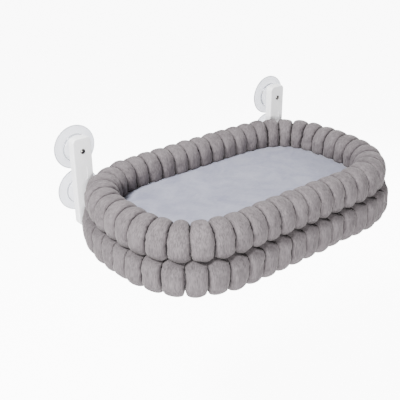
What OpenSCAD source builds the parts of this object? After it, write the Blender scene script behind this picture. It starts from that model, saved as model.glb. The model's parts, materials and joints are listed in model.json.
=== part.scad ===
// Window mounted cat perch: a padded nest inside two stacked rings of puffed plush rolls,
// carried by a steel tube frame that folds down from two plastic brackets with suction cups.
// Millimetres. The origin is on the window glass, midway between the four suction cups.
// +Z is up, +Y points at the glass, and the nest reaches into the room along -Y.

/* [Nest outline] */
// Half length of the nest, to the middle of the upper roll
ring_half_l = 250; // [240:1:262]
// Half width of the nest, to the middle of the upper roll
ring_half_w = 143; // [138:1:150]
// Squareness of the rounded ends, where 2 is a circle
end_power = 2.7; // [2.6:0.05:2.9]

/* [Upper roll] */
// Half width of the upper roll
up_half_w = 29; // [26:0.5:30]
// Half height of the upper roll
up_half_h = 33; // [30:0.5:36]
// Height of the upper roll's middle below the middle of the cups
up_drop = 27.5; // [24:0.5:32]
// Number of puffs round the upper roll
up_puffs = 46; // [40:1:48]
// Depth of the seams between the puffs
seam_depth = 4.5; // [2:0.5:6]

/* [Lower roll] */
// Half width of the lower roll
low_half_w = 24; // [20:0.5:25]
// Half height of the lower roll
low_half_h = 36.5; // [34:0.5:38]
// Height of the lower roll's middle below the upper roll's middle
low_drop = 50; // [46:0.5:53]
// How far the lower roll's middle stands out past the upper roll's at the ends
flare_l = 9; // [7:0.5:14]
// How far the lower roll's middle stands out past the upper roll's at the sides
flare_w = 11; // [9:0.5:14]
// Number of puffs round the lower roll
low_puffs = 47; // [40:1:48]

/* [Pad and sling] */
// Depth of the line between the rolls below the upper roll's middle
tier_drop = 24; // [20:0.5:26]
// Thickness of the pad at its edge
pad_t = 10.2; // [8:0.2:12]
// Height that the pad's middle swells above its tucked edge
pad_crown = 9.5; // [7:0.5:11]
// Thickness of the sling cloth
sling_t = 1.6; // [1:0.1:2]

/* [Tube frame] */
// How far the tube's middle lies in from the upper roll's middle at the ends
frame_in_l = 25; // [24:1:32]
// How far the tube's middle lies in from the upper roll's middle at the sides
frame_in_w = 24; // [23:1:31]
// Half length of the frame's straight run at each end
frame_end_half = 31; // [23:1:33]
// Outer radius of the tube
tube_r = 8; // [6.5:0.1:8.2]
// Wall of the tube
tube_wall = 1.2; // [1:0.1:1.5]
// Half length of a joiner inside the tube
joiner_half_l = 28; // [22:1:36]

/* [Brackets] */
// How far the middle of each bracket lies in from the upper roll's middle at the ends
bracket_in = 18.5; // [16:0.5:21]
// Width of a bracket
bracket_w = 36; // [34:0.5:37]
// Depth of a bracket
bracket_d = 14; // [13:0.2:15]
// Reach of a bracket above the upper cup's screw
bracket_above = 25; // [22:0.5:30]
// Reach of a bracket below the lower cup's screw
bracket_below = 60; // [58:0.5:64]
// Wall of a bracket
bracket_wall = 2.4; // [2:0.1:2.8]
// Thickness of a bracket's back cover
cover_t = 2.2; // [1.6:0.1:2.6]

/* [Suction cups] */
// Radius of a suction cup
cup_r = 39.8; // [36:0.2:40]
// Distance between the two cups of a bracket
cup_pitch = 80.4; // [80.4:0.2:88]
// Height of a cup from the glass to its washer
cup_h = 13.6; // [12:0.2:15]
// Thread radius of the cup screws
cup_screw_r = 2.45; // [2:0.05:2.6]

/* [Fold joint] */
// Radius of the pivot pins
pivot_r = 4; // [3.5:0.1:4.2]
// Height of the pivot above a bracket's lower end
pivot_up = 7.8; // [7.5:0.1:9]
// Thickness of the steel arms
arm_t = 5; // [4:0.1:5.4]
// Distance from the pivot up to the lock bolt
lock_reach = 14; // [13:0.2:14.4]
// Radius of the lock bolts
bolt_r = 3; // [2.5:0.1:3.2]
// Travel of the lock bolts into the arms
bolt_travel = 6; // [5.5:0.1:6.5]

/* [Hidden] */
// Clearances: soft pieces, running fits, seated pieces and the overrun of cuts
soft_gap = 0.3;
fit_gap = 0.05;
seat_gap = 0.1;
side_gap = 0.5;
over = 1;

// Heights and depths that follow from the sizes above
straight_half = ring_half_l - ring_half_w;
frame_half_l = ring_half_l - frame_in_l;
frame_half_w = ring_half_w - frame_in_w;
bend_r = frame_half_w - frame_end_half;
bracket_x = ring_half_l - bracket_in;
ring_y = -(ring_half_w + flare_w + low_half_w + side_gap + side_gap);
up_z = -up_drop;
low_z = up_z - low_drop;
tier_z = up_z - tier_drop;
pad_top = tier_z - soft_gap;
pad_bottom = pad_top - pad_t;
sling_top = pad_bottom - soft_gap;
sling_bottom = sling_top - sling_t;
tube_z = sling_bottom - seat_gap - tube_r;
cup_z = cup_pitch / 2;
washer_t = 1.2;
back_y = -(cup_h + washer_t);
front_y = back_y - bracket_d;
bracket_top = cup_z + bracket_above;
bracket_bottom = -cup_z - bracket_below;
inner_x = bracket_x - bracket_w / 2;
outer_x = bracket_x + bracket_w / 2;
pivot_y = (back_y + front_y) / 2;
pivot_z = bracket_bottom + pivot_up;
lock_z = pivot_z + lock_reach;

// Rolls: sides of their section, stations on each puff, points on an end of the outline
roll_sides = 8;
puff_stations = 3;
end_steps = 40;
crown_power = 2.2;
base_power = 2.8;
tier_power = 2.5;
tier_fill_share = 1.26;
up_seam_phase_share = 0.35;
low_seam_phase_share = 0.1;

// Where the rolls give way to the brackets and to the bracket ends that turn past them
station_l = 4 * (ring_half_l + ring_half_w) / (up_puffs * puff_stations);
hug_x = inner_x - station_l - side_gap;
up_limit = front_y - side_gap;
swing_r = norm([bracket_d / 2, pivot_up]);
low_limit = pivot_y - swing_r - side_gap;
glass_limit = -side_gap;

// Pad: how far its edge is tucked under the upper roll, its rounding, and its swell inside the roll
pad_tuck = 17;
pad_round = 4;
pad_steps = 64;
pad_foot_under = 4;
pad_rim_past = 2;
pad_foot_in = up_half_w - pad_foot_under;
pad_rim_in = up_half_w + pad_rim_past;
pad_rim_share = 0.84;
pad_ring_shares = [0.8, 0.5];
pad_swell_shares = [0.94, 0.99];

// Bracket: corner and edge rounding, cover seat, screw bosses and the faint oval on its face
corner_r = 9;
edge_r = 2.5;
seat_w = 0.8;
boss_r = 6;
screw_bore_r = cup_screw_r + 0.25 * cup_screw_r;
oval_r = 6;
oval_half_h = 13;
oval_depth = 0.6;
cover_screw_r = 1.05;
cover_boss_r = 3.2;
cover_screw_l = 8;
cover_head_r = 2.6;
cover_head_t = 1.4;
cover_screw_x = bracket_w / 2 - bracket_wall - cover_boss_r - side_gap;
cover_screw_up = 16;
cover_foot = 4;
floor_up = 8.5;
floor_z = lock_z + floor_up;
cover_down = 7.5;
cover_low_z = lock_z - cover_down;

// Cup: hub, step and lip, each as a radius and a height above the glass
hub_r = 9;
step_r = 24;
dome_h = 8.6;
flange_h = 4.9;
lip_t = 1.2;
lip_w = 2.3;
hollow_h = 3;
insert_r = 4;
insert_l = 7;
washer_r = 8;
screw_head_r = 4.75;
screw_head_t = 2.6;
cross_w = 1.2;
cross_l = 5.6;
cross_depth = 1.6;

// Fold joint: arm, bush and pin
hub_radius = 8.5;
lobe_radius = 6.2;
arm_end_radius = 6;
arm_x0 = inner_x - side_gap - arm_t;
bush_wall = 1.4;
bush_r = pivot_r + fit_gap + bush_wall;
flange_r = 7.6;
flange_t = 1;
pin_head_r = 6.5;
pin_head_t = 2.4;
pin_end_wall = 2.7;
set_screw_r = 2;
arm_mid_x = arm_x0 + arm_t / 2;
bend_x = frame_half_l - bend_r;
tube_at_arm_y = ring_y + frame_end_half + sqrt(bend_r * bend_r - pow(arm_mid_x - bend_x, 2));
arm_end_y = tube_at_arm_y + tube_r;

// Lock bolt: its carrier, the stem through the bracket's face and the thumb pad
carrier_w = 12;
carrier_h = 9;
carrier_back = 0.3;
stem_w = 6;
stem_h = 5;
thumb_w = 13;
thumb_h = 9;
thumb_t = 1.6;
thumb_depth = 1.2;
channel_x1 = bracket_x + carrier_w * 2 / 3;
tip_back = side_gap;

// Joiner screws
joiner_screw_r = 2;
joiner_head_r = 3.6;
joiner_head_t = 2;
joiner_screw_x = joiner_half_l / 2;

// A power that keeps the sign
function spow(v, e) = sign(v) * pow(abs(v), e);

// Closed outline of the nest, grown by grow_l at the ends and grow_w at the sides
function outline(grow_l, grow_w, steps) = [
    for (end = [1, -1])
        for (i = [0 : steps])
            let (t = -90 + 180 * i / steps)
                [end * (straight_half + (ring_half_w + grow_l) * spow(cos(t), 2 / end_power)),
                 end * (ring_half_w + grow_w) * spow(sin(t), 2 / end_power)]
];

// Distance walked along a closed outline up to each of its points
function walked(p) = [
    for (i = 0, s = 0; i <= len(p); s = s + norm(p[(i + 1) % len(p)] - p[i % len(p)]), i = i + 1) s
];

// One coordinate of a closed outline as a table over the distance walked
function course(p, s, axis) = [for (i = [0 : len(p)]) [s[i], p[i % len(p)][axis]]];

// Place on the outline at a distance walked, wrapped round its whole length
function wrap(d, whole) = d - floor(d / whole) * whole;
function spot(tx, ty, d, whole) = [lookup(wrap(d, whole), tx), lookup(wrap(d, whole), ty)];

// Points of a puffed roll: a rounded section at each station, drawn in at the seams. heights are
// its reach above and below z. The side at the tier, 0 above or 1 below, is pressed flat.
function roll_points(p, puffs, phase, half_w, heights, power, tier_side, z, limit) =
    let (
        s = walked(p),
        whole = s[len(p)],
        tx = course(p, s, 0),
        ty = course(p, s, 1),
        n = puffs * puff_stations,
        pitch = whole / puffs
    ) [
        for (j = [0 : n - 1])
            let (
                d = whole * j / n + phase * pitch,
                c = spot(tx, ty, d, whole),
                step = spot(tx, ty, d + pitch / 8, whole) - spot(tx, ty, d - pitch / 8, whole),
                out = [step[1], -step[0]] / norm(step),
                drawn = j % puff_stations == 0 ? seam_depth : 0
            )
            for (k = [0 : roll_sides - 1])
                let (
                    a = 360 * k / roll_sides,
                    side = k > roll_sides / 2 ? 1 : 0,
                    pressed = side == tier_side,
                    turn = 2 / (pressed ? tier_power : power),
                    rise = min(1, abs(spow(sin(a), turn)) * (pressed ? tier_fill_share : 1)),
                    w = (half_w - drawn) * spow(cos(a), turn),
                    h = sign(sin(a)) * rise * (heights[side] - (pressed ? 0 : drawn)),
                    x = c[0] + out[0] * w,
                    y = ring_y + c[1] + out[1] * w,
                    stop = abs(x) > hug_x ? limit : glass_limit
                )
                [x, min(y, stop), z + h]
    ];

// Faces of a closed tube of n rings with m points each
function tube_faces(n, m) = [
    for (j = [0 : n - 1])
        for (k = [0 : m - 1])
            let (
                a = j * m + k,
                b = j * m + (k + 1) % m,
                c = (j + 1) % n * m + k,
                d = (j + 1) % n * m + (k + 1) % m
            )
                for (f = [[a, b, d], [a, d, c]]) f
];

module puffed_roll(p, puffs, phase, half_w, heights, power, tier_side, z, limit) {
    polyhedron(
        points = roll_points(p, puffs, phase, half_w, heights, power, tier_side, z, limit),
        faces = tube_faces(puffs * puff_stations, roll_sides),
        convexity = 6
    );
}

// A rod along X between two places, and one along Y
module rod_x(x0, x1, y, z, r) {
    translate([x0, y, z]) rotate([0, 90, 0]) cylinder(h = x1 - x0, r = r, $fn = 48);
}

module rod_y(y0, y1, x, z, r) {
    translate([x, y0, z]) rotate([-90, 0, 0]) cylinder(h = y1 - y0, r = r, $fn = 48);
}

module rod_z(z0, z1, x, y, r) {
    translate([x, y, z0]) cylinder(h = z1 - z0, r = r, $fn = 48);
}

// A block between two corners
module block(a, b) {
    translate(a) cube(b - a);
}

// A plate in the XZ plane with round corners, between y0 and y1
module rounded_plate(y0, y1, x, half_w, z0, z1, r) {
    block([x - half_w + r, y0, z0], [x + half_w - r, y1, z1]);
    block([x - half_w, y0, z0 + r], [x + half_w, y1, z1 - r]);
    for (sx = [-1, 1])
        for (z = [z0 + r, z1 - r])
            rod_y(y0, y1, x + sx * (half_w - r), z, r);
}

// The right side's pieces, or their mirror images for the left side
module on_side(side) {
    if (side > 0) children();
    else mirror([1, 0, 0]) children();
}

// Puck with a rounded front edge, for the corners of a bracket
module corner_puck(x, z) {
    translate([x, back_y, z]) rotate([90, 0, 0]) rotate_extrude($fn = 32) {
        square([corner_r, bracket_d - edge_r]);
        square([corner_r - edge_r, bracket_d]);
        translate([corner_r - edge_r, bracket_d - edge_r]) circle(r = edge_r, $fn = 24);
    }
}

module bracket_body() {
    hull() {
        for (x = [inner_x + corner_r, outer_x - corner_r])
            for (z = [bracket_bottom + corner_r, bracket_top - corner_r])
                corner_puck(x, z);
    }
}

module bracket_shell(side) {
    color("white") on_side(side) difference() {
        bracket_body();
        difference() {
            rounded_plate(front_y + bracket_wall, back_y + over, bracket_x, bracket_w / 2 - bracket_wall,
                floor_z, bracket_top - bracket_wall, corner_r - bracket_wall);
            for (z = [-cup_z, cup_z])
                rod_y(front_y, back_y - cover_t, bracket_x, z, boss_r);
            for (place = cover_screw_places())
                rod_y(front_y, back_y - cover_t, place[0], place[1], cover_boss_r);
        }
        rounded_plate(back_y - cover_t, back_y + over, bracket_x, bracket_w / 2 - bracket_wall + seat_w,
            cover_low_z, bracket_top - bracket_wall + seat_w, corner_r - bracket_wall + seat_w);
        for (z = [-cup_z, cup_z])
            rod_y(front_y - over, back_y + over, bracket_x, z, screw_bore_r);
        for (place = cover_screw_places())
            rod_y(back_y - cover_t - cover_screw_l, back_y + over, place[0], place[1],
                cover_screw_r + fit_gap);
        rod_x(inner_x - over, outer_x - pin_end_wall, pivot_y, pivot_z, pivot_r + fit_gap);
        rod_y(pivot_y, back_y + over, bracket_x, pivot_z, set_screw_r + fit_gap);
        bolt_channel();
        rounded_plate(front_y - over, front_y + oval_depth, bracket_x, oval_r, -oval_half_h, oval_half_h,
            oval_r - side_gap);
    }
}

// The room that the lock bolt, its carrier and its thumb pad slide in
module bolt_channel() {
    block([channel_x1 - carrier_w - bolt_travel - side_gap, front_y + bracket_wall,
            lock_z - carrier_h / 2 - seat_gap],
        [channel_x1 + side_gap, back_y - cover_t + over, lock_z + carrier_h / 2 + seat_gap]);
    rod_x(inner_x - over, bracket_x, pivot_y, lock_z, bolt_r + fit_gap);
    block([stem_x() - stem_w / 2 - bolt_travel - seat_gap, front_y - over, lock_z - stem_h / 2 - seat_gap],
        [stem_x() + stem_w / 2 + seat_gap, front_y + bracket_wall + over, lock_z + stem_h / 2 + seat_gap]);
    rounded_plate(front_y - over, front_y + thumb_depth, stem_x() - bolt_travel / 2,
        thumb_w / 2 + bolt_travel / 2 + side_gap, lock_z - thumb_h / 2 - side_gap,
        lock_z + thumb_h / 2 + side_gap, thumb_h / 2);
}

function stem_x() = channel_x1 - carrier_w / 2;

// The four places of a cover's screws
function cover_screw_places() = [
    for (sx = [-1, 1])
        for (z = [cup_z + cover_screw_up, floor_z + cover_boss_r + cover_foot])
            [bracket_x + sx * cover_screw_x, z]
];

module bracket_cover(side) {
    color("white") on_side(side) difference() {
        rounded_plate(back_y - cover_t + seat_gap / 2, back_y, bracket_x,
            bracket_w / 2 - bracket_wall + seat_w - seat_gap, cover_low_z + seat_gap,
            bracket_top - bracket_wall + seat_w - seat_gap, corner_r - bracket_wall + seat_w);
        for (z = [-cup_z, cup_z])
            rod_y(back_y - bracket_d, back_y + over, bracket_x, z, screw_bore_r);
        for (place = cover_screw_places())
            rod_y(back_y - bracket_d, back_y + over, place[0], place[1], cover_screw_r + fit_gap);
    }
}

module cover_screws() {
    color("silver") for (side = [-1, 1]) on_side(side) for (place = cover_screw_places()) {
        rod_y(back_y - cover_t - cover_screw_l + side_gap, back_y, place[0], place[1], cover_screw_r);
        rod_y(back_y, back_y + cover_head_t, place[0], place[1], cover_head_r);
    }
}

// Profile of a suction cup: radius against height above the glass
module cup_profile() {
    polygon([
        [0, hollow_h],
        [step_r, hollow_h * 2 / 3],
        [cup_r - lip_w, 0],
        [cup_r, 0],
        [cup_r, lip_t],
        [step_r + lip_t, flange_h],
        [step_r, (flange_h + dome_h) / 2],
        [step_r - lip_w, dome_h],
        [hub_r + lip_t, dome_h + lip_t],
        [hub_r, dome_h + lip_t + lip_t],
        [hub_r, cup_h],
        [insert_r + fit_gap, cup_h],
        [insert_r + fit_gap, cup_h - insert_l],
        [0, cup_h - insert_l]
    ]);
}

module suction_cup(side, level) {
    color([0.86, 0.87, 0.9, 0.7]) on_side(side) translate([bracket_x, 0, level * cup_z])
        rotate([90, 0, 0]) rotate_extrude($fn = 96) cup_profile();
}

module cup_inserts() {
    color("goldenrod") for (side = [-1, 1]) on_side(side) for (z = [-cup_z, cup_z]) difference() {
        rod_y(-cup_h, -cup_h + insert_l - seat_gap, bracket_x, z, insert_r);
        rod_y(-cup_h - over, -cup_h + insert_l + over, bracket_x, z, cup_screw_r + fit_gap);
    }
}

module cup_washers() {
    color("silver") for (side = [-1, 1]) on_side(side) for (z = [-cup_z, cup_z]) difference() {
        rod_y(back_y, back_y + washer_t, bracket_x, z, washer_r);
        rod_y(back_y - over, back_y + washer_t + over, bracket_x, z, screw_bore_r);
    }
}

module cup_screws() {
    color("silver") for (side = [-1, 1]) on_side(side) for (z = [-cup_z, cup_z]) difference() {
        union() {
            rod_y(front_y - screw_head_t, front_y, bracket_x, z, screw_head_r);
            rod_y(front_y, -cup_h + insert_l - side_gap, bracket_x, z, cup_screw_r);
        }
        block([bracket_x - cross_l / 2, front_y - screw_head_t - over, z - cross_w / 2],
            [bracket_x + cross_l / 2, front_y - screw_head_t + cross_depth, z + cross_w / 2]);
        block([bracket_x - cross_w / 2, front_y - screw_head_t - over, z - cross_l / 2],
            [bracket_x + cross_w / 2, front_y - screw_head_t + cross_depth, z + cross_l / 2]);
    }
}

module pivot_pin(side) {
    color("silver") on_side(side) {
        rod_x(arm_x0 - flange_t - seat_gap, outer_x - pin_end_wall - seat_gap, pivot_y, pivot_z, pivot_r);
        rod_x(arm_x0 - flange_t - seat_gap - pin_head_t, arm_x0 - flange_t - seat_gap, pivot_y, pivot_z,
            pin_head_r);
    }
}

module pin_set_screws() {
    color("dimgray") for (side = [-1, 1]) on_side(side)
        rod_y(pivot_y + pivot_r + fit_gap, back_y, bracket_x, pivot_z, set_screw_r);
}

// Nylon bush in an arm's hub, with its flange under the pin's head
module hinge_bush(side) {
    color("ivory") on_side(side) difference() {
        union() {
            rod_x(arm_x0, inner_x - seat_gap, pivot_y, pivot_z, bush_r);
            rod_x(arm_x0 - flange_t, arm_x0, pivot_y, pivot_z, flange_r);
        }
        rod_x(arm_x0 - flange_t - over, inner_x + over, pivot_y, pivot_z, pivot_r + fit_gap);
    }
}

module thumb_slide(side) {
    color("white") on_side(side) difference() {
        union() {
            block([channel_x1 - carrier_w, front_y + bracket_wall + seat_gap, lock_z - carrier_h / 2],
                [channel_x1, back_y - cover_t - carrier_back, lock_z + carrier_h / 2]);
            block([stem_x() - stem_w / 2, front_y + thumb_depth - seat_gap, lock_z - stem_h / 2],
                [stem_x() + stem_w / 2, front_y + bracket_wall + seat_gap, lock_z + stem_h / 2]);
            rounded_plate(front_y + thumb_depth - seat_gap - thumb_t, front_y + thumb_depth - seat_gap,
                stem_x(), thumb_w / 2, lock_z - thumb_h / 2, lock_z + thumb_h / 2, thumb_h / 2 - side_gap);
        }
        rod_x(channel_x1 - carrier_w - over, channel_x1 - carrier_w / 3, pivot_y, lock_z, bolt_r + fit_gap);
    }
}

module lock_bolt(side) {
    color("silver") on_side(side)
        rod_x(inner_x + tip_back, channel_x1 - carrier_w / 3, pivot_y, lock_z, bolt_r);
}

// Side view of an arm, grown all round: its leg from the pivot to the tube, and the lobe with
// the lock holes for the open and the folded nest
module arm_profile(grow) {
    hull() {
        translate([pivot_y, pivot_z]) circle(r = hub_radius + grow, $fn = 32);
        translate([arm_end_y, tube_z]) circle(r = arm_end_radius + grow, $fn = 32);
    }
    hull() {
        translate([pivot_y, pivot_z]) circle(r = hub_radius + grow, $fn = 32);
        translate([pivot_y, lock_z]) circle(r = lobe_radius + grow, $fn = 32);
        translate([pivot_y + lock_reach, pivot_z]) circle(r = lobe_radius + grow, $fn = 32);
    }
}

module arm_plate(x0, x1, grow) {
    translate([x0, 0, 0]) rotate([90, 0, 90]) linear_extrude(height = x1 - x0) arm_profile(grow);
}

module arm(side) {
    color("silver") on_side(side) difference() {
        arm_plate(arm_x0, arm_x0 + arm_t, 0);
        rod_x(arm_x0 - over, inner_x, pivot_y, pivot_z, bush_r + fit_gap);
        rod_x(arm_x0 - over, inner_x, pivot_y, lock_z, bolt_r + seat_gap);
        rod_x(arm_x0 - over, inner_x, pivot_y + lock_reach, pivot_z, bolt_r + seat_gap);
        tube_half(tube_r);
    }
}

// Half of the frame's loop as a round bar of radius r, on the right side
module tube_half(r) {
    translate([0, ring_y, tube_z]) {
        for (sy = [-1, 1])
            rod_x(0, bend_x, sy * frame_half_w, 0, r);
        translate([frame_half_l, -frame_end_half, 0]) rotate([-90, 0, 0])
            cylinder(h = 2 * frame_end_half, r = r, $fn = 48);
        for (quarter = [[frame_end_half, 0], [-frame_end_half, -90]])
            translate([bend_x, quarter[0], 0]) rotate([0, 0, quarter[1]])
                rotate_extrude(angle = 90, $fn = 96) translate([bend_r, 0]) circle(r = r, $fn = 48);
    }
}

module frame_half(side) {
    color("gainsboro") on_side(side) difference() {
        tube_half(tube_r);
        tube_half(tube_r - tube_wall);
        for (sy = [-1, 1])
            rod_z(tube_z - tube_r - over, tube_z, joiner_screw_x, ring_y + sy * frame_half_w,
                joiner_screw_r + seat_gap);
    }
}

// Short tube inside the joint of the two frame halves
module frame_joiner(sy) {
    color("gray") difference() {
        rod_x(-joiner_half_l, joiner_half_l, ring_y + sy * frame_half_w, tube_z,
            tube_r - tube_wall - fit_gap);
        rod_x(-joiner_half_l - over, joiner_half_l + over, ring_y + sy * frame_half_w, tube_z,
            tube_r - 3 * tube_wall);
        for (sx = [-1, 1])
            rod_z(tube_z - tube_r - over, tube_z, sx * joiner_screw_x, ring_y + sy * frame_half_w,
                joiner_screw_r + fit_gap);
    }
}

module joiner_screws() {
    color("dimgray") for (sy = [-1, 1]) for (sx = [-1, 1]) {
        rod_z(tube_z - tube_r, tube_z - tube_r / 4, sx * joiner_screw_x, ring_y + sy * frame_half_w,
            joiner_screw_r);
        rod_z(tube_z - tube_r - joiner_head_t, tube_z - tube_r, sx * joiner_screw_x,
            ring_y + sy * frame_half_w, joiner_head_r);
    }
}

module sling() {
    color("dimgray") translate([0, ring_y, sling_bottom]) linear_extrude(height = sling_t)
        polygon(outline(-pad_tuck - pad_round, -pad_tuck - pad_round, end_steps));
}

// Rings of the pad from its bottom edge round its side and in over its crown
function pad_ring(tuck, share, z) = [
    for (q = outline(-tuck, -tuck, pad_steps / 2 - 1))
        [q[0] * share, ring_y + q[1] * share, z]
];

function pad_points_all() = concat(
    pad_ring(pad_tuck + pad_round, 1, pad_bottom),
    pad_ring(pad_tuck, 1, (pad_bottom + pad_top) / 2),
    pad_ring(pad_tuck + pad_round, 1, pad_top),
    pad_ring(pad_foot_in, 1, pad_top),
    pad_ring(pad_rim_in, 1, pad_top + pad_crown * pad_rim_share),
    [for (i = [0 : len(pad_ring_shares) - 1])
        each pad_ring(pad_rim_in, pad_ring_shares[i], pad_top + pad_crown * pad_swell_shares[i])],
    [[0, ring_y, pad_bottom], [0, ring_y, pad_top + pad_crown]]
);

module pad() {
    rings = 5 + len(pad_ring_shares);
    m = pad_steps;
    color("lightsteelblue") polyhedron(
        points = pad_points_all(),
        faces = concat(
            [for (j = [0 : rings - 2]) for (k = [0 : m - 1])
                let (a = j * m + k, b = j * m + (k + 1) % m)
                    each [[a, a + m, b + m], [a, b + m, b]]],
            [for (k = [0 : m - 1]) [rings * m, k, (k + 1) % m]],
            [for (k = [0 : m - 1])
                [rings * m + 1, (rings - 1) * m + (k + 1) % m, (rings - 1) * m + k]]
        ),
        convexity = 4
    );
}

module upper_roll() {
    color("rosybrown") puffed_roll(outline(0, 0, end_steps), up_puffs, up_seam_phase_share, up_half_w,
        [up_half_h, tier_drop], crown_power, 1, up_z, up_limit);
}

// The lower roll parts round the arms, which run through it to the frame
module lower_roll() {
    color("rosybrown") difference() {
        puffed_roll(outline(flare_l, flare_w, end_steps), low_puffs, low_seam_phase_share, low_half_w,
            [tier_z - soft_gap - low_z, low_half_h], base_power, 0, low_z, low_limit);
        for (side = [-1, 1])
            on_side(side) arm_plate(arm_x0 - flange_t - pin_head_t - side_gap, inner_x + over, side_gap);
    }
}

bracket_shell(-1);  // bracket_shell_left
bracket_shell(1);  // bracket_shell_right
bracket_cover(-1);  // bracket_cover_left
bracket_cover(1);  // bracket_cover_right
cover_screws();
suction_cup(-1, 1);  // suction_cup_upper_left
suction_cup(-1, -1);  // suction_cup_lower_left
suction_cup(1, 1);  // suction_cup_upper_right
suction_cup(1, -1);  // suction_cup_lower_right
cup_inserts();
cup_washers();
cup_screws();
pivot_pin(-1);  // pivot_pin_left
pivot_pin(1);  // pivot_pin_right
pin_set_screws();
hinge_bush(-1);  // hinge_bush_left
hinge_bush(1);  // hinge_bush_right
thumb_slide(-1);  // thumb_slide_left
thumb_slide(1);  // thumb_slide_right
lock_bolt(-1);  // lock_bolt_left
lock_bolt(1);  // lock_bolt_right
arm(-1);  // arm_left
arm(1);  // arm_right
frame_half(-1);  // frame_half_left
frame_half(1);  // frame_half_right
frame_joiner(-1);  // frame_joiner_front
frame_joiner(1);  // frame_joiner_rear
joiner_screws();
sling();
pad();
upper_roll();
lower_roll();
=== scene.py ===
import bisect
import json
import math

import bmesh
import bpy
from mathutils import Matrix, Vector, bvhtree, kdtree, noise


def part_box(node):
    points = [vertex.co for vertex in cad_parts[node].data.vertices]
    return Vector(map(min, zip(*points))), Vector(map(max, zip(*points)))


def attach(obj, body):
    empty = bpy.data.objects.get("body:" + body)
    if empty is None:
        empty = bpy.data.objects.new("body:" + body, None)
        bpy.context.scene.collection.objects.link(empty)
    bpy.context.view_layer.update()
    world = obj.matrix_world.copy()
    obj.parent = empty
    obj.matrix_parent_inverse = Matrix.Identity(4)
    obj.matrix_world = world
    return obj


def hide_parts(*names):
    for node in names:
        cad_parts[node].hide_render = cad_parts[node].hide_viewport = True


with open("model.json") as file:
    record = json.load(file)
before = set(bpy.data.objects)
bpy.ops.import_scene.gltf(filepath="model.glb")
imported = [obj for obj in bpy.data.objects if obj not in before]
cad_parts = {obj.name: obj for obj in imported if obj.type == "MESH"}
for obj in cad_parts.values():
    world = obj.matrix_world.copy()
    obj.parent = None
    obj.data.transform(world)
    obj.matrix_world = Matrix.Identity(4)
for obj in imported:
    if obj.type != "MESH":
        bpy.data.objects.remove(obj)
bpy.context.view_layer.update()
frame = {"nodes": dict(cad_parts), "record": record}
print("frame loaded:", len(frame["nodes"]), "nodes")

mm = 0.001


# Materials

def linearColor(hexText):
    # An sRGB colour turned to linear, with full cover
    channels = [int(hexText[i:i + 2], 16) / 255 for i in (0, 2, 4)]
    return [c / 12.92 if c <= 0.04045 else ((c + 0.055) / 1.055) ** 2.4 for c in channels] + [1.0]


def addNode(tree, kind, settings=None, links=None):
    node = tree.nodes.new(kind)
    for key, value in (settings or {}).items():
        if key == "stops":  # a colour ramp's stops, as places and shares of grey
            for element, (place, grey) in zip(node.color_ramp.elements, value):
                element.position = place
                element.color = (grey, grey, grey, 1)
        elif isinstance(key, int) or key in node.inputs:
            node.inputs[key].default_value = value
        else:
            setattr(node, key, value)
    for key, source in (links or {}).items():
        tree.links.new(source, node.inputs[key])
    return node


def startMaterial(name, settings):
    material = bpy.data.materials.new(name)
    material.use_nodes = True
    tree = material.node_tree
    shader = tree.nodes["Principled BSDF"]
    for key, value in settings.items():
        shader.inputs[key].default_value = value
    return material, tree, shader


rollPlush = {
    # The seam colour is painted shade: near black, laid into the seams and along the crease between the rolls
    "light": "6e686a", "dark": "4a4547", "seam": "1b181a",
    "pileAcross": 0.8 * mm, "pileAlong": 6 * mm,  # drawn coarser than the real 0.2 mm pile, so that it shows
    "tuftAcross": 3 * mm, "tuftAlong": 15 * mm, "patch": 30 * mm, "grit": 0.7 * mm,
    "patchShare": 0.45, "brushedShare": 0.42, "leanStops": ((0.38, 0.0), (0.62, 1.0)),
    "gritShare": 0.4, "relief": 0.8, "reliefDepth": 1.1 * mm,
}


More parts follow.
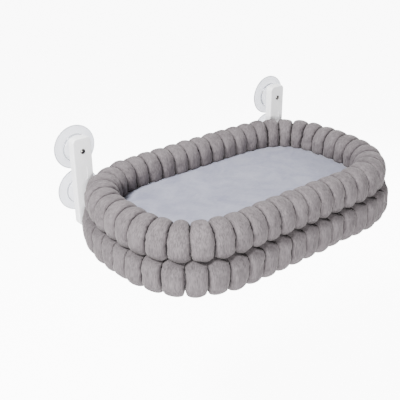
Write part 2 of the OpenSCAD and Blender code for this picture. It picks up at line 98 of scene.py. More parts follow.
def makeRollPlush():
    # Short brushed plush: matt, with a pale halo at grazing angles and soft streaks where the pile leans, and
    # painted shade in the seams and along the crease between the rolls
    material, tree, shader = startMaterial("grey_taupe_plush", {
        "Roughness": 0.92, "IOR": 1.5, "Specular IOR Level": 0.2,
        "Sheen Weight": 0.15, "Sheen Roughness": 0.4, "Sheen Tint": linearColor("e9e2e0")})
    uv = addNode(tree, "ShaderNodeUVMap", {"uv_map": "cloth"})
    streakPlace = addNode(tree, "ShaderNodeMapping",
        {"Scale": (1 / rollPlush["pileAcross"], 1 / rollPlush["pileAlong"], 1)},
        {"Vector": uv.outputs["UV"]})
    streaks = addNode(tree, "ShaderNodeTexNoise",
        {"Scale": 1.0, "Detail": 3.0, "Roughness": 0.6, "Distortion": 0.4},
        {"Vector": streakPlace.outputs["Vector"]})
    tuftPlace = addNode(tree, "ShaderNodeMapping",
        {"Scale": (1 / rollPlush["tuftAcross"], 1 / rollPlush["tuftAlong"], 1)},
        {"Vector": uv.outputs["UV"]})
    tufts = addNode(tree, "ShaderNodeTexNoise", {"Scale": 1.0, "Detail": 2.0, "Distortion": 0.8},
        {"Vector": tuftPlace.outputs["Vector"]})
    patches = addNode(tree, "ShaderNodeTexNoise", {"Scale": 1 / rollPlush["patch"], "Detail": 2.0},
        {"Vector": uv.outputs["UV"]})
    grit = addNode(tree, "ShaderNodeTexNoise", {"Scale": 1 / rollPlush["grit"], "Detail": 2.0},
        {"Vector": uv.outputs["UV"]})
    brushed = addNode(tree, "ShaderNodeMix", {"data_type": "FLOAT", "Factor": rollPlush["patchShare"]},
        {2: tufts.outputs["Fac"], 3: patches.outputs["Fac"]})
    lean = addNode(tree, "ShaderNodeMix", {"data_type": "FLOAT", "Factor": rollPlush["brushedShare"]},
        {2: streaks.outputs["Fac"], 3: brushed.outputs[0]})
    leanRange = addNode(tree, "ShaderNodeValToRGB", {"stops": rollPlush["leanStops"]},
        {"Fac": lean.outputs[0]})
    cloth = addNode(tree, "ShaderNodeMix", {"data_type": "RGBA", 6: linearColor(rollPlush["dark"]),
        7: linearColor(rollPlush["light"])}, {0: leanRange.outputs["Color"]})
    # Painted shade: the seamNear attribute mixes the near black seam colour into the cloth, deepest in the
    # seams and lighter along the crease between the rolls
    seam = addNode(tree, "ShaderNodeAttribute", {"attribute_name": "seamNear"})
    paintedShade = addNode(tree, "ShaderNodeMix", {"data_type": "RGBA", 7: linearColor(rollPlush["seam"])},
        {0: seam.outputs["Fac"], 6: cloth.outputs[2]})
    tree.links.new(paintedShade.outputs[2], shader.inputs["Base Color"])
    relief = addNode(tree, "ShaderNodeMix", {"data_type": "FLOAT", "Factor": rollPlush["gritShare"]},
        {2: streaks.outputs["Fac"], 3: grit.outputs["Fac"]})
    bump = addNode(tree, "ShaderNodeBump",
        {"Strength": rollPlush["relief"], "Distance": rollPlush["reliefDepth"]},
        {"Height": relief.outputs[0]})
    tree.links.new(bump.outputs["Normal"], shader.inputs["Normal"])
    return material


padVelvet = {
    "light": "8c8d9a", "dark": "78798a",
    "pileAcross": 2.2 * mm, "pileAlong": 7 * mm,  # drawn coarser than the real pile, so that it shows
    "brush": 45 * mm, "brushShare": 0.6, "leanStops": ((0.35, 0.0), (0.65, 1.0)),
    "relief": 0.4, "reliefDepth": 0.6 * mm,
}


def makePadVelvet():
    # Brushed velvet: a smooth cool grey with cloudy patches where a hand has turned the pile
    material, tree, shader = startMaterial("cool_grey_velvet", {
        "Roughness": 0.88, "IOR": 1.5, "Specular IOR Level": 0.2,
        "Sheen Weight": 0.4, "Sheen Roughness": 0.35, "Sheen Tint": linearColor("f2f3fa")})
    place = addNode(tree, "ShaderNodeTexCoord")
    streakPlace = addNode(tree, "ShaderNodeMapping",
        {"Scale": (1 / padVelvet["pileAlong"], 1 / padVelvet["pileAcross"], 1 / padVelvet["pileAcross"])},
        {"Vector": place.outputs["Object"]})
    streaks = addNode(tree, "ShaderNodeTexNoise", {"Scale": 1.0, "Detail": 3.0, "Roughness": 0.6},
        {"Vector": streakPlace.outputs["Vector"]})
    brushed = addNode(tree, "ShaderNodeTexNoise",
        {"Scale": 1 / padVelvet["brush"], "Detail": 3.0, "Distortion": 1.2},
        {"Vector": place.outputs["Object"]})
    lean = addNode(tree, "ShaderNodeMix", {"data_type": "FLOAT", "Factor": padVelvet["brushShare"]},
        {2: streaks.outputs["Fac"], 3: brushed.outputs["Fac"]})
    leanRange = addNode(tree, "ShaderNodeValToRGB", {"stops": padVelvet["leanStops"]},
        {"Fac": lean.outputs[0]})
    cloth = addNode(tree, "ShaderNodeMix", {"data_type": "RGBA", 6: linearColor(padVelvet["dark"]),
        7: linearColor(padVelvet["light"])}, {0: leanRange.outputs["Color"]})
    tree.links.new(cloth.outputs[2], shader.inputs["Base Color"])
    bump = addNode(tree, "ShaderNodeBump",
        {"Strength": padVelvet["relief"], "Distance": padVelvet["reliefDepth"]},
        {"Height": streaks.outputs["Fac"]})
    tree.links.new(bump.outputs["Normal"], shader.inputs["Normal"])
    return material


slingCloth = {
    "warp": "77767a", "weft": "8e8d91",
    "pitch": 10.053 * mm,  # from yarn to yarn, far coarser than the real 0.5 mm, so that the grid shows
    "bandScale": math.pi / 10,  # the wave texture's scale for one band a metre
    "relief": 0.5, "reliefDepth": 0.3 * mm,
}


def makeSlingCloth():
    # Plain woven polyester: flat, a little shiny, with its grid of yarns showing close to
    material, tree, shader = startMaterial("woven_polyester", {
        "Roughness": 0.72, "IOR": 1.5, "Specular IOR Level": 0.35, "Sheen Weight": 0.15})
    place = addNode(tree, "ShaderNodeTexCoord")
    bands = []
    for axis in ("X", "Y"):
        bands.append(addNode(tree, "ShaderNodeTexWave",
            {"wave_type": "BANDS", "bands_direction": axis,
                "Scale": slingCloth["bandScale"] / slingCloth["pitch"]},
            {"Vector": place.outputs["Object"]}))
    over = addNode(tree, "ShaderNodeMath", {"operation": "GREATER_THAN"},
        {0: bands[0].outputs["Fac"], 1: bands[1].outputs["Fac"]})
    cloth = addNode(tree, "ShaderNodeMix", {"data_type": "RGBA", 6: linearColor(slingCloth["warp"]),
        7: linearColor(slingCloth["weft"])}, {0: over.outputs["Value"]})
    tree.links.new(cloth.outputs[2], shader.inputs["Base Color"])
    height = addNode(tree, "ShaderNodeMath", {"operation": "MAXIMUM"},
        {0: bands[0].outputs["Fac"], 1: bands[1].outputs["Fac"]})
    bump = addNode(tree, "ShaderNodeBump",
        {"Strength": slingCloth["relief"], "Distance": slingCloth["reliefDepth"]},
        {"Height": height.outputs["Value"]})
    tree.links.new(bump.outputs["Normal"], shader.inputs["Normal"])
    return material


grainsInCloud = 12  # the width of a hard finish's cloudy patches, counted in grains


def makeHardMaterial(name, color, settings, grain, bumpStrength, bumpDepth, spread):
    # A smooth hard finish: its colour wavers a little and its surface carries the grain of how it was made
    material, tree, shader = startMaterial(name, settings)
    place = addNode(tree, "ShaderNodeTexCoord")
    grains = addNode(tree, "ShaderNodeTexNoise", {"Scale": 1 / grain, "Detail": 2.0},
        {"Vector": place.outputs["Object"]})
    clouds = addNode(tree, "ShaderNodeTexNoise", {"Scale": 1 / (grain * grainsInCloud), "Detail": 2.0},
        {"Vector": place.outputs["Object"]})
    base = linearColor(color)
    darker = [channel * (1 - spread * 2) for channel in base[:3]] + [1]
    tone = addNode(tree, "ShaderNodeMix", {"data_type": "RGBA", 6: darker, 7: base},
        {0: clouds.outputs["Fac"]})
    tree.links.new(tone.outputs[2], shader.inputs["Base Color"])
    bump = addNode(tree, "ShaderNodeBump", {"Strength": bumpStrength, "Distance": bumpDepth},
        {"Height": grains.outputs["Fac"]})
    tree.links.new(bump.outputs["Normal"], shader.inputs["Normal"])
    return material


pvc = {
    # edge is a painted shade colour, laid on where the surface is seen edge-on
    "face": "e9ebf2", "edge": "5d6069",
    "edgeFrom": 0.4, "rimStops": ((0.45, 0.0), (0.95, 1.0)),
    "ripple": 5 * mm, "relief": 0.12, "reliefDepth": 0.5 * mm,
}


def makeClearPvc():
    # Soft clear PVC: glossy and a little milky, with painted shade at the rims that darkens the colour where
    # the surface is seen edge-on
    material, tree, shader = startMaterial("clear_soft_pvc", {
        "Roughness": 0.1, "IOR": 1.53, "Transmission Weight": 0.86,
        "Coat Weight": 0.3, "Coat Roughness": 0.05})
    grazing = addNode(tree, "ShaderNodeLayerWeight", {"Blend": pvc["edgeFrom"]})
    rim = addNode(tree, "ShaderNodeValToRGB", {"stops": pvc["rimStops"]}, {"Fac": grazing.outputs["Facing"]})
    tone = addNode(tree, "ShaderNodeMix", {"data_type": "RGBA", 6: linearColor(pvc["face"]),
        7: linearColor(pvc["edge"])}, {0: rim.outputs["Color"]})
    tree.links.new(tone.outputs[2], shader.inputs["Base Color"])
    place = addNode(tree, "ShaderNodeTexCoord")
    ripple = addNode(tree, "ShaderNodeTexNoise", {"Scale": 1 / pvc["ripple"], "Detail": 2.0},
        {"Vector": place.outputs["Object"]})
    bump = addNode(tree, "ShaderNodeBump", {"Strength": pvc["relief"], "Distance": pvc["reliefDepth"]},
        {"Height": ripple.outputs["Fac"]})
    tree.links.new(bump.outputs["Normal"], shader.inputs["Normal"])
    return material


materials = {
    "rollPlush": makeRollPlush(),
    "padVelvet": makePadVelvet(),
    "slingCloth": makeSlingCloth(),
    # Moulded ABS: clean white with a soft satin gloss and the faintest orange peel
    "whiteAbs": makeHardMaterial("moulded_white_abs", "f5f5f6",
        {"Roughness": 0.34, "IOR": 1.54, "Specular IOR Level": 0.5},
        grain=1.4 * mm, bumpStrength=0.06, bumpDepth=0.2 * mm, spread=0.01),
    # Soft PVC: clear but milky, slightly cool, glossy where it was pressed in the mould
    "clearPvc": makeClearPvc(),
    # The same PVC as a darker grey for painted shade: the dark rings laid on the rolled rim and on the step
    # round the hub, where light bends through the thick plastic
    "pvcRimShade": makeHardMaterial("clear_pvc_rim_painted_shade", "a3a6ae",
        {"Roughness": 0.15, "IOR": 1.53, "Transmission Weight": 0.45},
        grain=3 * mm, bumpStrength=0.05, bumpDepth=0.3 * mm, spread=0.02),
    # Nickel plate: a warm grey mirror, toned down because nothing dark stands round it to be mirrored
    "nickel": makeHardMaterial("bright_nickel_plate", "7d7b79",
        {"Metallic": 1.0, "Roughness": 0.22},
        grain=0.8 * mm, bumpStrength=0.05, bumpDepth=0.1 * mm, spread=0.05),
    # Zinc plate: cool grey, half matt, with cloudy spangles
    "zincSteel": makeHardMaterial("zinc_plated_steel", "b2b4b7",
        {"Metallic": 1.0, "Roughness": 0.4},
        grain=1.2 * mm, bumpStrength=0.12, bumpDepth=0.1 * mm, spread=0.12),
    # Black oxide: near black, oily half gloss
    "blackSteel": makeHardMaterial("black_oxide_steel", "2b2b2d",
        {"Metallic": 1.0, "Roughness": 0.42},
        grain=0.8 * mm, bumpStrength=0.1, bumpDepth=0.1 * mm, spread=0.1),
    # Turned brass: yellow metal with fine tool marks
    "brass": makeHardMaterial("turned_brass", "c8a45c",
        {"Metallic": 1.0, "Roughness": 0.3},
        grain=0.6 * mm, bumpStrength=0.1, bumpDepth=0.1 * mm, spread=0.06),
    # Natural nylon: off white, waxy and faintly translucent
    "nylon": makeHardMaterial("natural_nylon", "e3dfd4",
        {"Roughness": 0.48, "IOR": 1.53, "Subsurface Weight": 0.1},
        grain=1.0 * mm, bumpStrength=0.08, bumpDepth=0.15 * mm, spread=0.02),
    # Powder coat: even light grey with a pebbled skin
    "powderCoat": makeHardMaterial("powder_coated_tube", "d3d3d6",
        {"Roughness": 0.46, "IOR": 1.52},
        grain=0.7 * mm, bumpStrength=0.35, bumpDepth=0.15 * mm, spread=0.02),
    # Polyester sewing thread: darker than the plush that it draws in, with a dull shine
    "thread": makeHardMaterial("polyester_thread", "534c50",
        {"Roughness": 0.6, "IOR": 1.5, "Sheen Weight": 0.3},
        grain=0.5 * mm, bumpStrength=0.6, bumpDepth=0.2 * mm, spread=0.08),
}
print("materials made:", len(materials))


# Meshes

def finishObject(name, mesh, material, body, sharpAngle=40):
    obj = bpy.data.objects.new(name, mesh)
    bpy.context.scene.collection.objects.link(obj)
    if not mesh.materials:
        mesh.materials.append(materials[material])
    mesh.polygons.foreach_set("use_smooth", [True] * len(mesh.polygons))
    mesh.set_sharp_from_angle(angle=math.radians(sharpAngle))
    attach(obj, body)
    return obj


def meshOf(name, bm):
    mesh = bpy.data.meshes.new(name)
    bm.to_mesh(mesh)
    bm.free()
    return mesh


def bodyOf(node):
    bodies = frame["record"]["behaviour"]["bodies"]
    return [body for body, members in bodies.items() if node in members][0]


skin = {"merge": 0.001 * mm, "flatAngle": 0.8, "edgeAngle": 38, "edgeSteps": 2}


def dressNode(node, material, edge, cutter):
    # A merged copy of a CAD node with clean flat faces, softened edges and smooth shading
    bm = bmesh.new()
    bm.from_mesh(frame["nodes"][node].data)
    bmesh.ops.remove_doubles(bm, verts=bm.verts, dist=skin["merge"])
    bmesh.ops.dissolve_limit(bm, angle_limit=math.radians(skin["flatAngle"]), verts=bm.verts, edges=bm.edges)
    mesh = meshOf(node + "_skin", bm)
    mesh.materials.clear()
    obj = finishObject(node + "_skin", mesh, material, bodyOf(node))
    if cutter:
        subtract(obj, cutter)
    if edge:
        soften = obj.modifiers.new("soft_edges", "BEVEL")
        soften.width = edge
        soften.segments = skin["edgeSteps"]
        soften.limit_method = "ANGLE"
        soften.angle_limit = math.radians(skin["edgeAngle"])
    flatten = obj.modifiers.new("flat_faces", "WEIGHTED_NORMAL")
    flatten.keep_sharp = True
    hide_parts(node)


def applyModifiers(obj):
    bpy.context.view_layer.update()
    shaped = bpy.data.meshes.new_from_object(obj.evaluated_get(bpy.context.evaluated_depsgraph_get()))
    obj.modifiers.clear()
    obj.data = shaped


def makeCutter(name, bm, material):
    # A shape to cut with, which gives the cut's walls its material
    cutter = bpy.data.objects.new(name, meshOf(name, bm))
    cutter.data.materials.append(materials[material])
    bpy.context.scene.collection.objects.link(cutter)
    return cutter


def subtract(obj, cutter, solver="EXACT"):
    cut = obj.modifiers.new("cut", "BOOLEAN")
    cut.operation = "DIFFERENCE"
    cut.solver = solver
    cut.object = cutter
    applyModifiers(obj)
    bpy.data.objects.remove(cutter)


# The nest's outline

def signedPower(value, power):
    return math.copysign(abs(value) ** power, value)


upperLow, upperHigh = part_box("upper_roll")
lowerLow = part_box("lower_roll")[0]
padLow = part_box("pad")[0]
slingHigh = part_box("sling")[1]
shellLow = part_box("bracket_shell_right")[0]
armLow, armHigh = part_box("arm_right")

nest = {
    "power": 2.7,  # how square the ends of the oval are: 2 is round
    "steps": 120, "facingReach": 4 * mm,
    "halfLong": 250 * mm, "halfWide": 143 * mm,  # to the middle line of the upper roll
    "flareLong": 9 * mm, "flareWide": 11 * mm,  # how far the lower roll stands out past it
    "centreY": upperLow.y + 172 * mm,
    "tierZ": upperLow.z,
    "tierWave": 5 * mm, "waveIn": -4 * mm, "waveOut": 10 * mm,
    "aboveTier": 0.1 * mm, "belowTier": 0.4 * mm, "aboveFloor": 0.1 * mm,
    "alongWeight": 0.3,  # how much a step along X counts in telling outwards from inwards
    "glassY": -0.6 * mm,
    "hugX": 199 * mm, "hugBlend": 7 * mm,  # where the rolls start to give way to the brackets
}


def walkOutline(growLong, growWide):
    straight = nest["halfLong"] - nest["halfWide"]
    places = []
    for end in (1, -1):
        for step in range(nest["steps"] + 1):
            turn = math.radians(-90 + 180 * step / nest["steps"])
            reach = signedPower(math.cos(turn), 2 / nest["power"])
            side = signedPower(math.sin(turn), 2 / nest["power"])
            places.append(Vector((end * (straight + (nest["halfWide"] + growLong) * reach),
                end * (nest["halfWide"] + growWide) * side)))
    places.append(places[0].copy())
    walked = [0.0]
    for before, after in zip(places, places[1:]):
        walked.append(walked[-1] + (after - before).length)
    return places, walked


def spotOn(path, distance):
    places, walked = path
    distance %= walked[-1]
    after = min(max(bisect.bisect_right(walked, distance), 1), len(places) - 1)
    span = walked[after] - walked[after - 1]
    share = (distance - walked[after - 1]) / span if span else 0
    return places[after - 1].lerp(places[after], share)


def facing(path, distance):
    # The way out of a path, square to its course there
    step = spotOn(path, distance + nest["facingReach"]) - spotOn(path, distance - nest["facingReach"])
    return Vector((step.y, -step.x)).normalized()


def smoothShare(value, start, end):
    share = min(max((value - start) / (end - start), 0), 1)
    return share * share * (3 - 2 * share)


# Puffed rolls

upperRoll = {
    "name": "upper_roll_plush", "node": "upper_roll", "grow": (0, 0), "puffs": 46, "phase": 0.35,
    "halfWidth": 29 * mm, "above": 33 * mm, "below": 24 * mm, "z": upperHigh.z - 33 * mm,
    "power": 2.2, "bulge": 1 * mm, "pressedSide": "below",
    "bracketLimit": shellLow.y - 0.7 * mm, "seed": 3.1,
}
lowerRoll = {
    "name": "lower_roll_plush", "node": "lower_roll",
    "grow": (nest["flareLong"], nest["flareWide"]), "puffs": 47, "phase": 0.1,
    "halfWidth": 24 * mm, "above": 25.7 * mm, "below": 36.5 * mm, "z": lowerLow.z + 36.5 * mm,
    "power": 2.9, "bulge": 4 * mm, "pressedSide": "above",
    "bracketLimit": shellLow.y - 4.2 * mm, "seed": 17.7,
}
puff = {
    "columns": 10, "around": 48, "merge": 0.002 * mm,
    "girth": 200 * mm,  # the cloth's way round, for its pile and gathers
    "seamDepth": 11.5 * mm, "slack": 1.0 * mm, "fullness": 0.6, "plump": 0.06,
    "gather": 1.6 * mm, "gatherPitch": 8 * mm, "gatherPower": 1.2,
    "lump": 2 * mm, "lumpPitch": 24 * mm,
    "lean": 1.6 * mm, "leanPhase": 0.7,
    "pressure": 3.0, "extraCloth": -0.05, "cap": 5 * mm, "frames": 15, "pinnedNear": 1.2 * mm,
    "pressedPower": 3.0, "press": 6 * mm, "pressedInset": 0.8, "pressedSwell": 0.3,
    "crease": 0.85, "swirl": 6,
    "wrinkle": 0.9 * mm, "wrinklePitch": 3.6 * mm, "wrinkleRange": (0.25, 0.8),
    "fold": 1.4 * mm, "foldPitch": 9 * mm, "foldRange": (0.05, 0.5), "foldMiddle": 0.25,
    "seamShade": 0.9, "seamRange": (0.32, 0.76),
    "tuckShade": 0.3, "tuckRange": (2 * mm, 14 * mm),
}
fabric = {
    # Blender's names for how the cloth stretches, bends and moves through the air
    "quality": 4, "mass": 0.25, "tension_stiffness": 18, "compression_stiffness": 12,
    "shear_stiffness": 6, "bending_stiffness": 0.15, "air_damping": 3,
    "vertex_group_mass": "sewn", "use_pressure": True,
}
outlinePlaces = 1400  # how finely a roll's middle line is searched


def outlineTree(roll):
    # Places along a roll's middle line, for finding how far round and how far out of it a point lies
    path = walkOutline(*roll["grow"])
    tree = kdtree.KDTree(outlinePlaces)
    for index in range(outlinePlaces):
        spot = spotOn(path, path[1][-1] * index / outlinePlaces)
        tree.insert((spot.x, nest["centreY"] + spot.y, 0), index)
    tree.balance()
    return tree


upperTree = outlineTree(upperRoll)
lowerTree = outlineTree(lowerRoll)


def crownAt(place, roll, tree):
    # 1 where a puff is fullest and 0 at its seams
    index = tree.find((place.x, place.y, 0))[1]
    around = (index / outlinePlaces * roll["puffs"] - roll["phase"]) % 1
    return math.sin(math.pi * around)


def tierHeight(place):
    # The line between the rolls, which dips under the upper puffs and climbs over the lower ones
    line, _, away = upperTree.find((place.x, place.y, 0))
    offset = Vector((place.x, place.y, 0)) - line
    along = offset.x * line.x * nest["alongWeight"]
    outward = math.copysign(away, along + offset.y * (line.y - nest["centreY"]))
    share = smoothShare(outward, nest["waveIn"], nest["waveOut"])
    if share == 0:
        return nest["tierZ"]
    wave = crownAt(place, lowerRoll, lowerTree) - crownAt(place, upperRoll, upperTree)
    return nest["tierZ"] + nest["tierWave"] * wave * share


def jitter(seed, index, spread):
    return spread * noise.noise(Vector((seed, index * 1.37 + 0.5, seed * 0.61)))


def placeOnRoll(roll, path, column, ring):
    # One point of the roll's cloth: column counts along the roll and ring counts round it
    seam, local = divmod(column, puff["columns"])
    ring %= puff["around"]
    swing = (2 * local / puff["columns"] - 1) * math.pi / 2
    fill = max(math.cos(swing), 0) ** puff["fullness"]  # 0 at a seam, 1 on a puff's crown
    pitch = path[1][-1] / roll["puffs"]
    hidden = -math.pi / 2 if roll["pressedSide"] == "below" else math.pi / 2  # where the cloth's ends meet
    angle = 2 * math.pi * ring / puff["around"] + hidden
    share = (math.sin(swing) + 1) / 2
    swayed = math.sin(angle + puff["leanPhase"])
    leans = [jitter(roll["seed"], (seam + i) % roll["puffs"], puff["lean"] * 2) * swayed for i in (0, 1)]
    distance = (seam + share + roll["phase"]) * pitch + leans[0] * (1 - share) + leans[1] * share
    centre = spotOn(path, distance)
    out = facing(path, distance)
    above = math.sin(angle) >= 0
    pressed = above == (roll["pressedSide"] == "above")
    plump = 1 + jitter(roll["seed"] + 9, seam % roll["puffs"], puff["plump"])
    inset = puff["seamDepth"] * (1 - fill) + puff["slack"] * fill
    power = puff["pressedPower"] if pressed else roll["power"]
    halfWidth = roll["halfWidth"] * plump + (roll["bulge"] if math.cos(angle) > 0 else 0)
    width = (halfWidth - inset) * signedPower(math.cos(angle), 2 / power)
    reach = (roll["above"] if above else roll["below"]) + (puff["press"] if pressed else 0)
    height = abs(math.sin(angle)) ** (2 / power) * (reach - inset * (puff["pressedInset"] if pressed else 1))
    height *= 1 if above else -1
    girth = ring / puff["around"] * puff["girth"]
    gather = puff["gather"] * (1 - fill) ** puff["gatherPower"] * noise.noise(
        Vector((girth / puff["gatherPitch"], seam % roll["puffs"] * 3.3, roll["seed"])))
    lump = puff["lump"] * fill * noise.noise(
        Vector((centre.x, centre.y, roll["z"] + height)) / puff["lumpPitch"] + Vector((roll["seed"], 0, 0)))
    swell = (gather + lump) * (puff["pressedSwell"] if pressed else 1)
    width += swell * math.cos(angle)
    height += swell * math.sin(angle)
    place = Vector((centre.x + out.x * width, nest["centreY"] + centre.y + out.y * width, roll["z"] + height))
    return place, fill


def holdBack(roll, place):
    # Keeps a point off the other roll, the glass and the brackets
    near = smoothShare(abs(place.x), nest["hugX"] - nest["hugBlend"], nest["hugX"])
    place.y = min(place.y, nest["glassY"] + (roll["bracketLimit"] - nest["glassY"]) * near)
    if roll["pressedSide"] == "below":
        if place.z < nest["tierZ"] + nest["tierWave"] + nest["aboveTier"]:
            place.z = max(place.z, tierHeight(place) + nest["aboveTier"])
    else:
        place.z = max(place.z, lowerLow.z + nest["aboveFloor"])
        if place.z > nest["tierZ"] - nest["tierWave"] - nest["belowTier"]:
            place.z = min(place.z, tierHeight(place) - nest["belowTier"])


def inflate(obj, pinned, pressure, extraCloth, cap, holder):
    # Cloth filled with air and held at its seams, with its swelling capped
    before = [vertex.co.copy() for vertex in obj.data.vertices]
    group = obj.vertex_groups.new(name="sewn")
    group.add(pinned, 1.0, "REPLACE")
    cloth = obj.modifiers.new("cloth", "CLOTH")
    for key, value in fabric.items():
        setattr(cloth.settings, key, value)
    cloth.settings.shrink_min = extraCloth
    cloth.settings.uniform_pressure_force = pressure
    cloth.settings.effector_weights.gravity = 0
    cloth.point_cache.frame_start = 1
    cloth.point_cache.frame_end = puff["frames"]
    for step in range(1, puff["frames"] + 1):
        bpy.context.scene.frame_set(step)
    swollen = obj.evaluated_get(bpy.context.evaluated_depsgraph_get())
    after = [vertex.co.copy() for vertex in swollen.data.vertices]
    obj.modifiers.clear()
    obj.vertex_groups.clear()
    bpy.context.scene.frame_set(1)
    for vertex, start, end in zip(obj.data.vertices, before, after):
        move = end - start
        if move.length > cap:
            move *= cap / move.length
        vertex.co = start + move
        holder(vertex.co)


def makeRoll(roll):
    path = walkOutline(*roll["grow"])
    columns = roll["puffs"] * puff["columns"]
    bm = bmesh.new()
    uvLayer = bm.loops.layers.uv.new("cloth")
    bmesh.ops.create_grid(bm, x_segments=columns, y_segments=puff["around"], size=0.5, calc_uvs=True)
    seamLayer = bm.verts.layers.float.new("seamNear")
    columnLayer = bm.verts.layers.int.new("column")
    ringLayer = bm.verts.layers.int.new("ring")
    for vertex in bm.verts:
        column = round((vertex.co.x + 0.5) * columns)
        ring = round((vertex.co.y + 0.5) * puff["around"])
        vertex.co, fill = placeOnRoll(roll, path, column, ring)
        holdBack(roll, vertex.co)
        vertex[seamLayer] = 1 - fill
        vertex[columnLayer] = column % columns
        vertex[ringLayer] = ring % puff["around"]
    for face in bm.faces:
        for loop in face.loops:
            loop[uvLayer].uv.x *= path[1][-1]
            loop[uvLayer].uv.y *= puff["girth"]
    bmesh.ops.remove_doubles(bm, verts=bm.verts, dist=puff["merge"])
    bmesh.ops.recalc_face_normals(bm, faces=bm.faces)
    obj = finishObject(roll["name"], meshOf(roll["name"], bm), "rollPlush", "nest",
        sharpAngle=180)
    onSeam = [item.value % puff["columns"] == 0 for item in obj.data.attributes["column"].data]
    pinned = [vertex.index for vertex in obj.data.vertices
        if onSeam[vertex.index] or abs(vertex.co.z - tierHeight(vertex.co)) < puff["pinnedNear"]]
    inflate(obj, pinned, puff["pressure"], puff["extraCloth"], puff["cap"],
        lambda place: holdBack(roll, place))
    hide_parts(roll["node"])
    print(roll["name"], "made:", len(obj.data.vertices), "points")
    return obj


def wrinkleRoll(roll, obj):
    # One finer level, with the gathers of the drawn-in seams and the soft folds of the loose cloth, and the
    # painted shade of the seams and of the crease between the rolls
    crease = obj.data.attributes.new("crease_edge", "FLOAT", "EDGE")
    columns = obj.data.attributes["column"].data
    for edge in obj.data.edges:
        first, second = (columns[index].value for index in edge.vertices)
        onSeam = first == second and first % puff["columns"] == 0
        crease.data[edge.index].value = puff["crease"] if onSeam else 0
    finer = obj.modifiers.new("finer", "SUBSURF")
    finer.levels = 1
    finer.render_levels = 1
    finer.use_limit_surface = False
    applyModifiers(obj)
    for name in ("column", "ring", "crease_edge"):
        obj.data.attributes.remove(obj.data.attributes[name])
    seamNear = obj.data.attributes["seamNear"].data
    normals = [vertex.normal.copy() for vertex in obj.data.vertices]
    for vertex, normal in zip(obj.data.vertices, normals):
        seam = min(max(seamNear[vertex.index].value, 0), 1)
        aside = (vertex.co.y - nest["centreY"]) / (nest["halfWide"] * 2)
        across = Vector((math.atan2(aside, vertex.co.x / (nest["halfLong"] * 2)) * puff["swirl"], 0, 0))
        gather = noise.noise(vertex.co / puff["wrinklePitch"] + across) * puff["wrinkle"]
        fold = noise.noise(vertex.co / puff["foldPitch"] + Vector((0, 0, roll["seed"])))
        fold = (abs(fold) - puff["foldMiddle"]) * puff["fold"]
        vertex.co += normal * (gather * smoothShare(seam, *puff["wrinkleRange"])
            + fold * smoothShare(seam, *puff["foldRange"]))
        holdBack(roll, vertex.co)
        # Painted shade: seamNear now darkens the seams, and more lightly the cloth near the crease between
        # the rolls
        tuckShadeShare = 1 - smoothShare(abs(vertex.co.z - nest["tierZ"]), *puff["tuckRange"])
        seamShadeShare = smoothShare(seam, *puff["seamRange"])
        seamNear[vertex.index].value = max(puff["seamShade"] * seamShadeShare, puff["tuckShade"] * tuckShadeShare)
    obj.data.polygons.foreach_set("use_smooth", [True] * len(obj.data.polygons))


thread = {"radius": 0.45 * mm, "proud": 0.15 * mm}


def stitchSeams(roll, obj):
    # The drawn-in thread at the bottom of each seam, as one thin ring a seam
    columns = obj.data.attributes["column"].data
    rings = obj.data.attributes["ring"].data
    seams = {}
    for vertex in obj.data.vertices:
        column = columns[vertex.index].value
        if column % puff["columns"] == 0:
            place = vertex.co + vertex.normal * thread["proud"]
            seams.setdefault(column, []).append((rings[vertex.index].value, place))
    curve = bpy.data.curves.new(roll["name"] + "_thread", "CURVE")
    curve.dimensions = "3D"
    curve.bevel_depth = thread["radius"]
    curve.bevel_resolution = 1
    for column, places in sorted(seams.items()):
        if any(inSlot(place) for _, place in places):
            continue
        spline = curve.splines.new("POLY")
        spline.use_cyclic_u = True
        spline.points.add(len(places) - 1)
        for point, (_, place) in zip(spline.points, sorted(places, key=lambda item: item[0])):
            point.co = (*place, 1)
    helper = bpy.data.objects.new("thread_helper", curve)
    bpy.context.scene.collection.objects.link(helper)
    bpy.context.view_layer.update()
    mesh = bpy.data.meshes.new_from_object(helper.evaluated_get(bpy.context.evaluated_depsgraph_get()))
    bpy.data.objects.remove(helper)
    mesh.materials.clear()
    finishObject(roll["name"] + "_thread", mesh, "thread", "nest", sharpAngle=180)


armSlot = {
    "side": 1.2 * mm, "pinRoom": 4.4 * mm, "hubRadius": 8.5 * mm, "endRadius": 6 * mm,
    "pivot": frame["record"]["behaviour"]["joints"][0]["pos_m"],
    "steps": 32, "threadsTo": -60 * mm,  # seams that cross the slot below this height get no thread
}


def inSlot(place):
    inWidth = armLow.x - armSlot["pinRoom"] < abs(place.x) < armHigh.x + armSlot["side"]
    return inWidth and armLow.y < place.y and place.z < armSlot["threadsTo"]


def slotCutter(side):
    # The room of one arm through the lower roll: two round ends joined by their hull
    end = armSlot["endRadius"]
    bm = bmesh.new()
    for x in (armLow.x - armSlot["pinRoom"], armHigh.x + armSlot["side"]):
        for y, z, radius in ((*armSlot["pivot"][1:], armSlot["hubRadius"]),
                (armLow.y + end, armHigh.z - end, end)):
            place = Matrix.Translation((side * x, y, z)) @ Matrix.Rotation(math.pi / 2, 4, "Y")
            bmesh.ops.create_circle(bm, segments=armSlot["steps"], radius=radius + armSlot["side"],
                matrix=place)
    bmesh.ops.convex_hull(bm, input=bm.verts)
    bmesh.ops.recalc_face_normals(bm, faces=bm.faces)
    return makeCutter("slot_cutter", bm, "rollPlush")


upperPlush = makeRoll(upperRoll)
stitchSeams(upperRoll, upperPlush)
wrinkleRoll(upperRoll, upperPlush)
lowerPlush = makeRoll(lowerRoll)
stitchSeams(lowerRoll, lowerPlush)
wrinkleRoll(lowerRoll, lowerPlush)
for side in (-1, 1):
    subtract(lowerPlush, slotCutter(side), "FAST")
print("rolls stitched, wrinkled and slotted:", len(lowerPlush.data.vertices), "points")


# Pad

